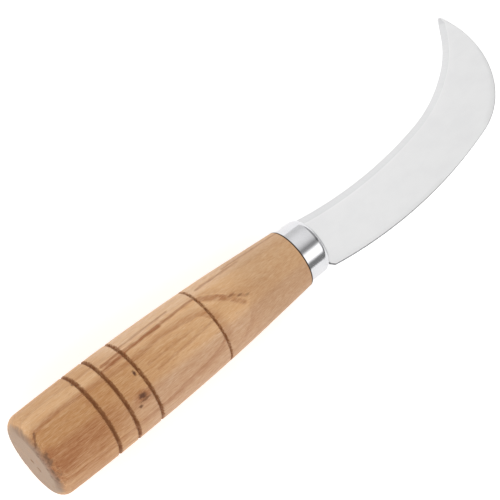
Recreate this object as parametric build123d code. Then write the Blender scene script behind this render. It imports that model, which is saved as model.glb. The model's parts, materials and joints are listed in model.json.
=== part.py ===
from build123d import *
from math import asin, degrees, radians, tan
import os

# Hook-bladed hoof knife: a stamped blade with its tang, a drawn ferrule, a turned handle
# and the resin that holds the tang. Millimetres throughout.
#
# Each piece is drawn about the handle's axis: X runs from the butt's flat end towards the
# blade, Y points to the side that the hook turns to, and Z stands on the blade's flat side.
# The pieces are then laid down together, the way the knife settles on a bench.

# Handle, a barrel whose side is a long arc, a tighter bend and a straight taper to the neck
HANDLE_LENGTH = 118.2
SWELL_STATION = 22.0
SWELL_RADIUS = 16.45
BARREL_ARC = 1000.0
BEND_STATION = 84.0
BEND_ARC = 380.0
NECK_TAPER = 4.8
BUTT_ROUND = 4.6
SHOULDER_CHAMFER = 0.3
NOSE_RADIUS = 10.15
NOSE_CHAMFER = 2.2

# Turned V grooves: station, width and depth
GROOVES = ((25.0, 1.5, 1.0), (33.6, 1.5, 1.0), (44.0, 1.5, 1.0), (76.6, 1.2, 0.8))

# Ferrule, a cap drawn from sheet, with a slot for the tang in its closed end
FERRULE_RADIUS = 11.0
FERRULE_LENGTH = 10.2
FERRULE_WALL = 0.8
FERRULE_ROUND = 2.8
SLOT_CLEARANCE = 0.2

# Tang and the hole that it is bedded in
TANG_WIDTH = 7.0
TANG_THICKNESS = 1.3
TANG_LENGTH = 74.0
TANG_TAPER = 6.0
TANG_END_WIDTH = 3.0
BORE_RADIUS = 4.0
BORE_END_GAP = 3.0

# Blade
BLADE_THICKNESS = 1.5
HEEL_CHAMFER = 1.6
BEVEL_WIDTH = 2.6
BEVEL_DEPTH = 0.6
TIP = (229.1, 38.6)

# Edges of the blade from the heel towards the tip: height of the start, heading in degrees,
# then radius and turn of each arc. A last arc runs on from them to the tip.
CUTTING_EDGE_START = 10.0
CUTTING_EDGE_HEADING = -9.5
CUTTING_EDGE_ARCS = ((174.6, 20.3), (61.6, 26.8), (35.9, 20.4))
BACK_START = -11.7
BACK_HEADING = -9.0
BACK_ARCS = ((190.0, 24.8), (30.1, 70.6))

# How the knife lies: nose down on the taper of its neck, and rolled until the hook meets the bench
LYING_PITCH = 4.8
LYING_ROLL = -2.5

FERRULE_FRONT = HANDLE_LENGTH + FERRULE_LENGTH
CAVITY_RADIUS = FERRULE_RADIUS - FERRULE_WALL
CAVITY_FRONT = FERRULE_FRONT - FERRULE_WALL
BORE_START = FERRULE_FRONT - TANG_LENGTH - BORE_END_GAP


def barrel_radius(station):
    """Radius of the handle's side at a station on its long arc."""
    return SWELL_RADIUS - BARREL_ARC + (BARREL_ARC**2 - (station - SWELL_STATION) ** 2) ** 0.5


def barrel_side():
    """Side of the handle in its half section, from the butt's end to the shoulder's chamfer."""
    rise = degrees(asin(SWELL_STATION / BARREL_ARC))
    fall = degrees(asin((BEND_STATION - SWELL_STATION) / BARREL_ARC))
    start = Vector(1, 0).rotate(Axis.Z, rise)
    swell = JernArc((0, barrel_radius(0)), start, BARREL_ARC, -rise - fall)
    bend = JernArc(swell @ 1, swell % 1, BEND_ARC, fall - NECK_TAPER)
    taper_length = HANDLE_LENGTH - SHOULDER_CHAMFER - (bend @ 1).X
    taper = Line(bend @ 1, bend @ 1 + Vector(taper_length, -taper_length * tan(radians(NECK_TAPER))))
    return swell + bend + taper


def turned(outline):
    """Solid turned about the handle's axis from a closed half section."""
    return revolve(make_face(outline), axis=Axis.X)


def groove_cutter(station, width, depth):
    """Ring with a V section, twice as deep as the groove that it cuts."""
    surface = barrel_radius(station)
    top = surface + depth
    corners = ((station - width, top), (station, surface - depth), (station + width, top))
    return turned(Polyline(*corners, close=True))


def rod(radius, start, end):
    """Round bar on the handle's axis."""
    bar = Cylinder(radius, end - start, align=(Align.CENTER, Align.CENTER, Align.MIN))
    return Pos(start, 0, 0) * Rot(0, 90, 0) * bar


def make_handle():
    """Turned wood: flat butt with a rounded rim, swelling barrel, shoulder and nose."""
    side = barrel_side()
    ends = Polyline(
        side @ 1,
        (HANDLE_LENGTH, (side @ 1).Y - SHOULDER_CHAMFER),
        (HANDLE_LENGTH, NOSE_RADIUS),
        (CAVITY_FRONT - NOSE_CHAMFER, NOSE_RADIUS),
        (CAVITY_FRONT, NOSE_RADIUS - NOSE_CHAMFER),
        (CAVITY_FRONT, 0),
        (0, 0),
        side @ 0,
    )
    wood = turned(side + ends)
    butt_rim = wood.edges().filter_by(GeomType.CIRCLE).sort_by(Axis.X)[0]
    wood = fillet(butt_rim, BUTT_ROUND)
    for station, width, depth in GROOVES:
        wood -= groove_cutter(station, width, depth)
    return wood - rod(BORE_RADIUS, BORE_START, CAVITY_FRONT)


def make_ferrule():
    """Drawn cap: rounded front, even wall, open at the wood and slotted for the tang."""
    shell = rod(FERRULE_RADIUS, HANDLE_LENGTH, FERRULE_FRONT)
    front_rim = shell.edges().filter_by(GeomType.CIRCLE).sort_by(Axis.X)[-1]
    shell = fillet(front_rim, FERRULE_ROUND)
    cavity = rod(CAVITY_RADIUS, HANDLE_LENGTH, CAVITY_FRONT)
    cavity_rim = cavity.edges().filter_by(GeomType.CIRCLE).sort_by(Axis.X)[-1]
    cavity = fillet(cavity_rim, FERRULE_ROUND - FERRULE_WALL)
    slot = Pos(CAVITY_FRONT, 0, 0) * Box(
        4 * FERRULE_WALL,
        TANG_WIDTH + 2 * SLOT_CLEARANCE,
        TANG_THICKNESS + 2 * SLOT_CLEARANCE,
    )
    return shell - cavity - slot


def edge_curve(start, heading, arcs):
    """Tangent arcs from the heel, and a last one that ends on the tip."""
    curve = JernArc(start, Vector(1, 0).rotate(Axis.Z, heading), arcs[0][0], arcs[0][1])
    for radius, turn in arcs[1:]:
        curve += JernArc(curve @ 1, curve % 1, radius, turn)
    return curve + TangentArc(curve @ 1, TIP, tangent=curve % 1)


def make_tang():
    """Flat bar behind the heel, a little thinner than the blade, tapering at its end."""
    end = FERRULE_FRONT - TANG_LENGTH
    outline = Polyline(
        (FERRULE_FRONT, TANG_WIDTH / 2),
        (end + TANG_TAPER, TANG_WIDTH / 2),
        (end, TANG_END_WIDTH / 2),
        (end, -TANG_END_WIDTH / 2),
        (end + TANG_TAPER, -TANG_WIDTH / 2),
        (FERRULE_FRONT, -TANG_WIDTH / 2),
        close=True,
    )
    return extrude(make_face(outline), TANG_THICKNESS / 2, both=True)


def ground(plate, cutting_edge, side):
    """Plate with one flat side, the lower (0) or the upper (-1), ground down to its cutting edge."""
    flat = plate.faces().filter_by(Plane.XY).sort_by(Axis.Z)[side]
    reach = BLADE_THICKNESS / 2 + 0.01
    rim = flat.edges().filter_by(lambda edge: Vertex(edge @ 0.5).distance_to(cutting_edge) < reach)
    return chamfer(rim, BEVEL_WIDTH, BEVEL_DEPTH, reference=flat)


def make_blade():
    """Hooked blade, ground on both sides of its inner edge, in one piece with its tang."""
    cutting_edge = edge_curve((FERRULE_FRONT, CUTTING_EDGE_START), CUTTING_EDGE_HEADING, CUTTING_EDGE_ARCS)
    back = edge_curve((FERRULE_FRONT + HEEL_CHAMFER, BACK_START), BACK_HEADING, BACK_ARCS)
    heel = Polyline(cutting_edge @ 0, (FERRULE_FRONT, BACK_START + HEEL_CHAMFER), back @ 0)
    plate = extrude(make_face(cutting_edge + back + heel), BLADE_THICKNESS / 2, both=True)
    plate = ground(plate, cutting_edge, -1)
    plate = ground(plate, cutting_edge, 0)
    return plate + make_tang()


def make_tang_resin():
    """Cured resin that fills the bore around the tang."""
    return rod(BORE_RADIUS, BORE_START, CAVITY_FRONT) - make_tang()


def laid_down(pieces):
    """Pieces turned as they lie, with the bench at Z 0 and the origin under their middle."""
    lying = Rot(0, LYING_PITCH, 0) * Rot(LYING_ROLL, 0, 0)
    turned_pieces = {name: lying * piece for name, piece in pieces.items()}
    box = Compound(list(turned_pieces.values())).bounding_box()
    middle = box.center()
    move = Pos(-middle.X, -middle.Y, -box.min.Z)
    return {name: move * piece for name, piece in turned_pieces.items()}


pieces = {
    "handle": make_handle(),
    "ferrule": make_ferrule(),
    "blade": make_blade(),
    "tang_resin": make_tang_resin(),
}

os.makedirs("parts", exist_ok=True)
for name, piece in laid_down(pieces).items():
    export_step(piece, f"parts/{name}.step")
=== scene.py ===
"""Hooked hoof knife: a turned wooden handle, a drawn ferrule and a ground steel blade.

Pieces are drawn in millimetres about the handle's axis: X runs from the butt towards the
blade, Y points to the side that the hook turns to, and Z stands on the blade's flat side.
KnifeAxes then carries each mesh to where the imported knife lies, in metres.
"""

import json
import logging
import math
from dataclasses import dataclass
from enum import Enum
from typing import ClassVar

import bmesh
import bpy
from mathutils import Matrix, Vector, noise


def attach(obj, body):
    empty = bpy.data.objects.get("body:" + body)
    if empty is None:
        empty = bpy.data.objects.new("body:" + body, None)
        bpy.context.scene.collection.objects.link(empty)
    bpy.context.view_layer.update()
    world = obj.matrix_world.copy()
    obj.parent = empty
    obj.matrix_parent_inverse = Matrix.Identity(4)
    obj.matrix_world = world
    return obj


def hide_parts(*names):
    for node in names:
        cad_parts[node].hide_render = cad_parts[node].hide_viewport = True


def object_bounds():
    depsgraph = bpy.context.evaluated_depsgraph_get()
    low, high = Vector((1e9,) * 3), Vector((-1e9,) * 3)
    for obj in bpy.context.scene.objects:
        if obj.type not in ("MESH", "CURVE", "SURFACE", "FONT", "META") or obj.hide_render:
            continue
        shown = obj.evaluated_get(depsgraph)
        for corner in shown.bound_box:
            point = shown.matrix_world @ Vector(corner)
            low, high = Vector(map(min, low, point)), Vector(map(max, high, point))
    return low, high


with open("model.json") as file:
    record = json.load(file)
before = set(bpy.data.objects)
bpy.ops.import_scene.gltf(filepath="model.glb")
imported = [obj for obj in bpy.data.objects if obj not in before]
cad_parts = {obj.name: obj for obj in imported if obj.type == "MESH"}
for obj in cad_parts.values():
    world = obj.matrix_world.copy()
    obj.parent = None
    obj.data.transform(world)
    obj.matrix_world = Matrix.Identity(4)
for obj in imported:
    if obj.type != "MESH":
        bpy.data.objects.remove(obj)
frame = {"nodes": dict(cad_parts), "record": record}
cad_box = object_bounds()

log = logging.getLogger("hoof_knife")

MM = 0.001
Triple = tuple[float, float, float]
Colour = Triple
Point = tuple[float, float]
Socket = bpy.types.NodeSocket
Amount = Socket | float

TEAR_SEED = 7.0
TEAR_DETAIL = 3.0
SEAM_GAP = 0.0005
EDGE_STEP = 0.5
LEAST_STEPS = 6


class Shown(Enum):
    """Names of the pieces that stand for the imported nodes."""

    HANDLE = "turned_handle"
    FERRULE = "drawn_ferrule"
    BLADE = "ground_blade"


# ---------------------------------------------------------------- where the knife lies


@dataclass(frozen=True)
class KnifeAxes:
    """The knife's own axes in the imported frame."""

    butt: Vector
    along: Vector
    across: Vector
    normal: Vector

    @classmethod
    def from_record(cls, record: dict) -> "KnifeAxes":
        """Read the axes from the record's mounts.

        Args:
            record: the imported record.

        Returns:
            The axes, square to each other.
        """
        mounts = {mount["name"]: mount for mount in record["mounts"]}
        along = -Vector(mounts["butt_face"]["axis"]).normalized()
        normal = Vector(mounts["blade_flat"]["axis"])
        normal = (normal - along * normal.dot(along)).normalized()
        return cls(Vector(mounts["butt_face"]["pos_m"]), along, normal.cross(along), normal)

    def turn(self) -> Matrix:
        """Rotation from the knife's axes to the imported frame."""
        return Matrix((self.along, self.across, self.normal)).transposed()

    def matrix(self) -> Matrix:
        """Placement of a mesh drawn in millimetres in the knife's axes."""
        return Matrix.Translation(self.butt) @ self.turn().to_4x4() @ Matrix.Scale(MM, 4)

    def point(self, x: float, y: float, z: float) -> Vector:
        """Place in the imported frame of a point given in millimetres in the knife's axes."""
        return self.matrix() @ Vector((x, y, z))


# ---------------------------------------------------------------- node recipes


@dataclass(frozen=True)
class Grain:
    """Cloudy noise: features per millimetre along each axis, octaves and the finer ones' share."""

    scale: Triple
    detail: float = 3.0
    rough: float = 0.5


@dataclass(frozen=True)
class Span:
    """A stretch from low to high, with a soft edge outside each end."""

    low: float
    high: float
    soft: float


@dataclass(frozen=True)
class Relief:
    """How far a bump stands up, in millimetres, and the share of its effect."""

    depth: float
    strength: float


class NodeWork:
    """A node tree being laid out, with short calls for the nodes that it needs."""

    def __init__(self, tree: bpy.types.NodeTree) -> None:
        """Take a tree and empty it."""
        self.tree = tree
        tree.nodes.clear()

    def add(self, kind: str, **settings: str) -> bpy.types.Node:
        """Add a node.

        Args:
            kind: the node's type.
            settings: its own properties by name, such as its operation.

        Returns:
            The node.
        """
        node = self.tree.nodes.new(kind)
        for name, value in settings.items():
            setattr(node, name, value)
        return node

    def feed(self, socket: Socket, value: Amount | tuple) -> None:
        """Give a socket a link or a constant.

        Args:
            socket: the input to set.
            value: another node's output, a number or a tuple.
        """
        if isinstance(value, Socket):
            self.tree.links.new(value, socket)
        else:
            socket.default_value = value

    def fill(self, node: bpy.types.Node, **inputs: Amount | tuple) -> bpy.types.Node:
        """Feed a node's inputs.

        Args:
            node: the node.
            inputs: values by socket name, with underscores for spaces.

        Returns:
            The node.
        """
        for name, value in inputs.items():
            self.feed(node.inputs[name.replace("_", " ")], value)
        return node

    def math(self, operation: str, *values: Amount) -> Socket:
        """One step of arithmetic.

        Args:
            operation: the Math node's operation.
            values: its inputs, sockets or numbers.

        Returns:
            The result.
        """
        node = self.add("ShaderNodeMath", operation=operation)
        for socket, value in zip(node.inputs, values):
            self.feed(socket, value)
        return node.outputs[0]

    def plus(self, first: Amount, second: Amount) -> Socket:
        """Sum of two values."""
        return self.math("ADD", first, second)

    def minus(self, first: Amount, second: Amount) -> Socket:
        """The first value less the second."""
        return self.math("SUBTRACT", first, second)

    def scaled(self, value: Amount, factor: Amount, offset: Amount) -> Socket:
        """A value times a factor, plus an offset."""
        return self.math("MULTIPLY_ADD", value, factor, offset)

    def times(self, first: Amount, *others: Amount) -> Socket:
        """Product of two or more values."""
        for other in others:
            first = self.math("MULTIPLY", first, other)
        return first

    def step(
        self, value: Amount, low: float, high: float, before: float = 0.0, after: float = 1.0
    ) -> Socket:
        """Smooth step between two values.

        Args:
            value: what is measured.
            low: where the step starts.
            high: where it ends, which may be below low.
            before: the result up to low.
            after: the result from high on.

        Returns:
            The step.
        """
        node = self.add("ShaderNodeMapRange", interpolation_type="SMOOTHSTEP")
        self.feed(node.inputs["Value"], value)
        ends = sorted(((low, before), (high, after)))
        for name, (place, result) in zip(("Min", "Max"), ends):
            node.inputs["From " + name].default_value = place
            node.inputs["To " + name].default_value = result
        return node.outputs["Result"]

    def window(self, value: Amount, span: Span) -> Socket:
        """1 where a value is within a span, falling to 0 over its soft edges."""
        rise = self.step(value, span.low - span.soft, span.low)
        return self.times(rise, self.step(value, span.high + span.soft, span.high))


class Recipe(NodeWork):
    """A material being mixed, on coordinates in the knife's axes."""

    def __init__(self, name: str, axes: KnifeAxes) -> None:
        """Start a material.

        Args:
            name: the material's name.
            axes: where the knife lies.
        """
        self.material = bpy.data.materials.new(name)
        self.material.use_nodes = True
        super().__init__(self.material.node_tree)
        self.shader = self.add("ShaderNodeBsdfPrincipled")
        self.fill(self.add("ShaderNodeOutputMaterial"), Surface=self.shader.outputs["BSDF"])
        mapping = self.fill(
            self.add("ShaderNodeMapping", vector_type="TEXTURE"),
            Vector=self.add("ShaderNodeTexCoord").outputs["Object"],
            Location=axes.butt,
            Rotation=axes.turn().to_euler(),
            Scale=(MM, MM, MM),
        )
        self.place = mapping.outputs["Vector"]

    def stretched(self, scale: Triple, vector: Socket) -> Socket:
        """Coordinates multiplied along each axis."""
        node = self.add("ShaderNodeVectorMath", operation="MULTIPLY")
        node.inputs[1].default_value = scale
        self.feed(node.inputs[0], vector)
        return node.outputs[0]

    def noise(self, grain: Grain, vector: Socket | None = None) -> Socket:
        """Cloudy noise from 0 to 1, over the knife's coordinates or over others."""
        place = self.stretched(grain.scale, vector or self.place)
        node = self.add("ShaderNodeTexNoise")
        self.fill(node, Vector=place, Scale=1.0, Detail=grain.detail, Roughness=grain.rough)
        return node.outputs["Fac"]

    def blend(self, amount: Amount, first: Socket | Colour, second: Socket | Colour) -> Socket:
        """Blend of two colours.

        Args:
            amount: share of the second colour.
            first: a colour or a socket.
            second: a colour or a socket.

        Returns:
            The blend.
        """
        node = self.add("ShaderNodeMix", data_type="RGBA")
        sockets = {socket.name + socket.type: socket for socket in node.inputs}
        self.feed(sockets["FactorVALUE"], amount)
        for name, colour in (("ARGBA", first), ("BRGBA", second)):
            whole = colour if isinstance(colour, Socket) else (*colour, 1.0)
            self.feed(sockets[name], whole)
        return next(socket for socket in node.outputs if socket.type == "RGBA")

    def ripen(self, colour: Socket, amount: Amount) -> Socket:
        """A colour made deeper and fuller by an amount above 1, or paler by one below."""
        return self.fill(self.add("ShaderNodeGamma"), Color=colour, Gamma=amount).outputs[0]

    def attribute(self, name: str) -> Socket:
        """A number stored on the mesh."""
        return self.add("ShaderNodeAttribute", attribute_name=name).outputs["Fac"]

    def paint(self, colour: Socket, roughness: Amount, metallic: float = 0.0) -> None:
        """Give the shader its colour, its roughness and its share of metal."""
        self.fill(self.shader, Base_Color=colour, Roughness=roughness, Metallic=metallic)

    def bump(self, height: Socket, relief: Relief) -> None:
        """Raise the surface by a height from 0 to 1 in the shader."""
        node = self.add("ShaderNodeBump")
        self.fill(node, Height=height, Distance=relief.depth * MM, Strength=relief.strength)
        self.feed(self.shader.inputs["Normal"], node.outputs["Normal"])


class TurnedRecipe(Recipe):
    """A material on the turned handle, which knows the station, the angle and the reach."""

    def __init__(self, name: str, axes: KnifeAxes) -> None:
        """Start a material and measure where each point lies about the handle's axis.

        Args:
            name: the material's name.
            axes: where the knife lies.
        """
        super().__init__(name, axes)
        split = self.fill(self.add("ShaderNodeSeparateXYZ"), Vector=self.place)
        self.station, self.across, self.up = split.outputs
        self.angle = self.math("DEGREES", self.math("ARCTAN2", self.across, self.up))
        self.reach = self.length(self.up, self.across)

    def length(self, first: Socket, second: Socket) -> Socket:
        """Length of the diagonal over two sides."""
        return self.math("SQRT", self.scaled(first, first, self.times(second, second)))


# ---------------------------------------------------------------- finishes


@dataclass(frozen=True)
class Knot:
    """A small round mark in the wood, at a station and an angle."""

    station: float
    angle: float
    half_length: float
    half_width: float
    strength: float


@dataclass(frozen=True)
class Streak:
    """A dark line in the grain, from one station and angle to another."""

    start: Point
    end: Point
    half_width: float
    strength: float


@dataclass(frozen=True)
class Zone:
    """A side of the handle with its own tint, fading in or out along the stations."""

    tint: Colour
    strength: float
    angles: Span
    stations: Point


class Finish:
    """A finish of one piece."""

    name: ClassVar[str]
    recipe: ClassVar[type[Recipe]] = Recipe

    def material(self, axes: KnifeAxes) -> bpy.types.Material:
        """Mix the finish for a knife that lies on the given axes."""
        mix = self.recipe(self.name, axes)
        self.mix(mix)
        return mix.material

    def mix(self, mix: Recipe) -> None:
        """Lay out the material's nodes."""
        raise NotImplementedError


@dataclass(frozen=True)
class TurnedWood(Finish):
    """Pale hardwood, turned, scorched in its grooves and left unvarnished."""

    name = "turned_wood"
    recipe = TurnedRecipe
    pale: Colour = (0.74, 0.455, 0.24)
    tan: Colour = (0.60, 0.335, 0.155)
    reddish: Colour = (0.36, 0.135, 0.05)
    neck: Colour = (0.49, 0.285, 0.15)
    end_grain: Colour = (0.40, 0.268, 0.18)
    pitted: Colour = (0.30, 0.19, 0.125)
    torn: Colour = (0.115, 0.042, 0.018)
    frayed: Colour = (0.17, 0.08, 0.04)
    bruised: Colour = (0.25, 0.15, 0.10)
    # nearly black painted shade for the gap at the ferrule and for the butt's slits
    painted_shade: Colour = (0.035, 0.02, 0.014)
    scorch: Colour = (0.25, 0.095, 0.032)
    honey_heart: Zone = Zone((0.465, 0.217, 0.077), 0.78, Span(-30.0, 12.0, 22.0), (84.0, 20.0))
    # pinkish wood tone on the side away from the light, with painted shade in it
    shaded_pink_flank: Zone = Zone((0.545, 0.33, 0.21), 0.62, Span(-120.0, -34.0, 16.0), (22.0, 46.0))
    # painted highlight on the side of the handle turned towards the light
    lit_side_highlight: Zone = Zone((0.80, 0.56, 0.37), 0.5, Span(42.0, 72.0, 12.0), (28.0, 46.0))

    cloud: Grain = Grain((0.012, 0.09, 0.09))
    cloud_steps: Point = (0.3, 0.7)
    fibre: Grain = Grain((0.085, 1.1, 1.1), 4.0, 0.65)
    fibre_strength: float = 0.55
    hair: Grain = Grain((0.34, 4.4, 4.4), 3.0, 0.65)
    hair_strength: float = 0.85
    pores: Grain = Grain((0.30, 3.4, 3.4), 2.0, 0.6)
    pore_steps: Point = (0.60, 0.72)
    pore_strength: float = 0.36
    calm_stations: Point = (76.0, 96.0)
    calm_grain: float = 0.55
    neck_stations: Point = (84.0, 102.0)
    neck_strength: float = 0.55

    mean_radius: float = 15.5
    pith_angle: float = -18.0
    pith_distance: float = 60.0
    ring_spacing: float = 4.3
    ring_start: float = 9.9
    ring_strength: float = 0.62
    ring_range: Point = (0.25, 0.95)
    late_wood: Point = (0.55, 0.95)
    ring_drop: Point = (1.0, 0.96)
    wander: Grain = Grain((0.03, 0.06, 0.06))
    wander_width: float = 3.0
    sweep: float = 4.1
    sweep_stations: Point = (71.0, 92.0)

    patch_angles: Span = Span(-46.0, -18.0, 14.0)
    patch_low_angles: Span = Span(-100.0, -46.0, 14.0)
    patch_low_share: float = 0.58
    patch_stations: Point = (44.0, 12.0)
    patch_base: float = 0.17

    knots: tuple[Knot, ...] = (
        Knot(39.9, -27.5, 1.7, 1.2, 0.95),
        Knot(40.4, -33.0, 2.6, 0.5, 0.6),
        Knot(37.6, -37.0, 0.9, 0.6, 0.8),
        Knot(42.2, 0.3, 0.65, 1.0, 1.0),
        Knot(24.2, 39.0, 0.6, 0.7, 0.7),
        Knot(87.0, 4.0, 1.7, 0.45, 0.4),
        Knot(89.6, -3.0, 1.4, 0.45, 0.45),
        Knot(92.0, -9.0, 0.9, 0.5, 0.4),
    )
    blushes: tuple[Knot, ...] = (
        Knot(40.2, -28.0, 3.8, 2.4, 0.8),
        Knot(24.0, 5.0, 1.6, 1.6, 0.35),
        Knot(3.0, -12.0, 2.6, 2.4, 0.5),
    )
    knot_edge: Grain = Grain((0.8, 1.6, 1.6), 3.0, 0.6)
    knot_steps: Point = (1.25, 0.35)
    streaks: tuple[Streak, ...] = (
        Streak((77.8, 27.0), (84.0, 9.0), 1.2, 0.66),
        Streak((84.0, 9.0), (89.3, -14.0), 0.9, 0.62),
        Streak((83.0, 16.0), (91.0, -8.0), 0.4, 0.55),
        Streak((34.5, 26.0), (44.0, 28.0), 0.7, 1.0),
        Streak((35.5, 32.5), (44.0, 35.0), 0.55, 0.85),
        Streak((45.0, 31.0), (60.0, 31.5), 0.75, 0.95),
        Streak((60.0, 31.5), (75.5, 34.5), 0.55, 0.75),
        Streak((45.0, 42.0), (66.0, 44.0), 0.4, 0.6),
        Streak((80.0, 46.0), (98.0, 47.0), 0.6, 0.65),
        Streak((93.0, 54.0), (117.0, 55.0), 0.55, 0.75),
        Streak((46.0, 78.0), (117.0, 82.0), 1.3, 0.4),
        Streak((50.0, -14.0), (76.0, -9.0), 0.35, 0.35),
        Streak((48.0, -2.0), (68.0, -1.0), 0.3, 0.35),
        Streak((3.4, 18.0), (14.0, 21.0), 0.45, 0.42),
        Streak((14.0, 21.0), (24.0, 20.0), 0.4, 0.25),
    )
    torn_corner: Streak = Streak((3.2, 17.5), (1.0, 4.0), 0.3, 0.6)
    streak_break: Grain = Grain((0.11, 0.8, 0.8), 3.0, 0.65)
    streak_break_steps: Point = (0.22, 0.54)
    streak_edge: Grain = Grain((0.25, 1.3, 1.3), 3.0, 0.6)
    streak_shares: Point = (1.5, 0.35)
    streak_fade: float = 0.25
    ragged_width: float = 1.2

    rim_reach: Point = (10.8, 12.6)
    end_wave: Grain = Grain((0.22, 0.22, 0.22))
    end_wave_height: float = 2.6
    end_wave_offset: float = -0.85
    end_depth: Point = (0.9, -0.35)
    end_pits: Grain = Grain((1.0, 3.0, 3.0), 2.0, 0.6)
    end_pit_steps: Point = (0.40, 0.72)
    end_pit_strength: float = 0.35
    end_break: Grain = Grain((0.5, 0.45, 0.45), 3.0, 0.65)
    bruise_angles: Span = Span(-70.0, 45.0, 22.0)
    bruise_depth: Span = Span(-0.1, 0.6, 0.8)
    tear_angles: Span = Span(-48.0, -6.0, 16.0)
    tear_depth: Span = Span(0.1, 2.1, 1.3)
    tear_steps: Point = (0.42, 0.66)
    tear_strength: float = 0.85

    burn_edge: Grain = Grain((1.8, 1.1, 1.1), 3.0, 0.7)
    burn_edge_width: float = 1.8
    burn_steps: Point = (0.30, 0.95)
    burn_depth: Grain = Grain((0.45, 0.4, 0.4), 3.0, 0.65)
    burn_depth_range: Point = (1.5, 0.14)
    burn_most: float = 0.97
    # scorch levels above 1 turn from burn to painted shade
    shade_colour_steps: Point = (1.15, 1.5)
    shade_steps: Point = (1.1, 1.6)

    roughness: float = 0.47
    uneven_roughness: float = 0.2
    specular: float = 0.3
    hair_relief: float = 0.35
    fibre_relief: float = 0.65
    pore_relief: float = 0.5
    relief: Relief = Relief(0.12, 0.7)

    def mix(self, mix: TurnedRecipe) -> None:
        """Lay out the wood's nodes."""
        fibre, hair = mix.noise(self.fibre), mix.noise(self.hair)
        pores = mix.step(mix.noise(self.pores), *self.pore_steps)

        colour = mix.blend(mix.step(mix.noise(self.cloud), *self.cloud_steps), self.pale, self.tan)
        colour = self.tinted(mix, colour, self.honey_heart)
        # pinkish tone and painted shade on the side away from the light
        colour = self.tinted(mix, colour, self.shaded_pink_flank)
        rings = mix.times(self.ring_lines(mix), self.ring_strength)
        colour = mix.blend(rings, colour, self.reddish)
        colour = mix.blend(self.butt_patch(mix, fibre), colour, self.reddish)
        # painted highlight on the side turned towards the light
        colour = self.tinted(mix, colour, self.lit_side_highlight)
        broken = mix.step(mix.noise(self.streak_break), *self.streak_break_steps)
        for streak in self.streaks:
            line = mix.times(self.streak_mask(mix, streak), broken)
            colour = mix.blend(line, colour, self.reddish)
        neck = mix.times(mix.step(mix.station, *self.neck_stations), self.neck_strength)
        colour = mix.blend(neck, colour, self.neck)
        calm = mix.step(mix.station, *self.calm_stations, 1.0, self.calm_grain)
        coarse = mix.times(mix.minus(fibre, 0.5), mix.times(calm, self.fibre_strength))
        grain = mix.scaled(mix.minus(hair, 0.5), self.hair_strength, coarse)
        colour = mix.ripen(colour, mix.plus(grain, 1.0))
        open_pores = mix.times(pores, calm, self.pore_strength)
        colour = mix.blend(open_pores, colour, self.reddish)
        for blush in self.blushes:
            colour = mix.blend(self.knot_mask(mix, blush), colour, self.reddish)
        for knot in self.knots:
            colour = mix.blend(self.knot_mask(mix, knot), colour, self.torn)
        colour = self.dress_end(mix, colour)
        # burn in the grooves, with painted shade in the gap at the ferrule and in the butt's slits
        burnt_and_shaded = self.burn_and_shade(mix)
        in_shade = mix.step(mix.attribute("scorch"), *self.shade_colour_steps)
        colour = mix.blend(burnt_and_shaded, colour, mix.blend(in_shade, self.scorch, self.painted_shade))

        rough = mix.scaled(hair, self.uneven_roughness, self.roughness)
        mix.paint(colour, mix.scaled(burnt_and_shaded, self.uneven_roughness, rough))
        mix.shader.inputs["Specular IOR Level"].default_value = self.specular
        height = mix.scaled(hair, self.hair_relief, mix.times(fibre, self.fibre_relief))
        mix.bump(mix.minus(height, mix.times(pores, self.pore_relief)), self.relief)

    def tinted(self, mix: TurnedRecipe, colour: Socket, zone: Zone) -> Socket:
        """Tint one side of the handle.

        Args:
            mix: the material being mixed.
            colour: the wood so far.
            zone: the side, its tint and where it fades.

        Returns:
            The colour with the tint.
        """
        side = mix.window(mix.angle, zone.angles)
        amount = mix.times(side, mix.step(mix.station, *zone.stations), zone.strength)
        return mix.blend(amount, colour, zone.tint)

    def ring_lines(self, mix: TurnedRecipe) -> Socket:
        """Dark late wood at the end of each growth ring, sweeping aside near the neck.

        Args:
            mix: the material being mixed.

        Returns:
            The lines' strength, from 0 to 1.
        """
        lean = math.radians(self.pith_angle)
        from_pith_y = mix.plus(mix.across, self.pith_distance * math.sin(lean))
        from_pith_z = mix.plus(mix.up, self.pith_distance * math.cos(lean))
        from_pith = mix.length(from_pith_y, from_pith_z)
        depth = mix.minus(from_pith, self.pith_distance + self.ring_start)
        depth = mix.minus(depth, mix.times(mix.step(mix.station, *self.sweep_stations), self.sweep))
        wander = mix.scaled(mix.noise(self.wander), self.wander_width, -self.wander_width / 2)
        rings = mix.math("DIVIDE", mix.plus(depth, wander), self.ring_spacing)
        phase = mix.math("FRACT", rings)
        line = mix.times(mix.step(phase, *self.late_wood), mix.step(phase, *self.ring_drop))
        number = mix.add("ShaderNodeTexWhiteNoise", noise_dimensions="1D")
        mix.feed(number.inputs["W"], mix.math("FLOOR", rings))
        weakest, strongest = self.ring_range
        return mix.times(line, mix.scaled(number.outputs["Value"], strongest - weakest, weakest))

    def butt_patch(self, mix: TurnedRecipe, fibre: Socket) -> Socket:
        """Reddish heartwood between the butt and the first groove, fainter down the side.

        Args:
            mix: the material being mixed.
            fibre: the wood's coarse grain.

        Returns:
            The patch's strength.
        """
        low = mix.times(mix.window(mix.angle, self.patch_low_angles), self.patch_low_share)
        band = mix.math("MAXIMUM", mix.window(mix.angle, self.patch_angles), low)
        reach = mix.step(mix.station, *self.patch_stations)
        return mix.times(band, reach, mix.plus(fibre, self.patch_base))

    def ragged(self, mix: TurnedRecipe, away: Socket, grain: Grain) -> Socket:
        """A distance made uneven by a grain, so that a mark's edge is ragged."""
        shift = mix.scaled(mix.noise(grain), self.ragged_width, -self.ragged_width / 2)
        return mix.plus(away, shift)

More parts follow.
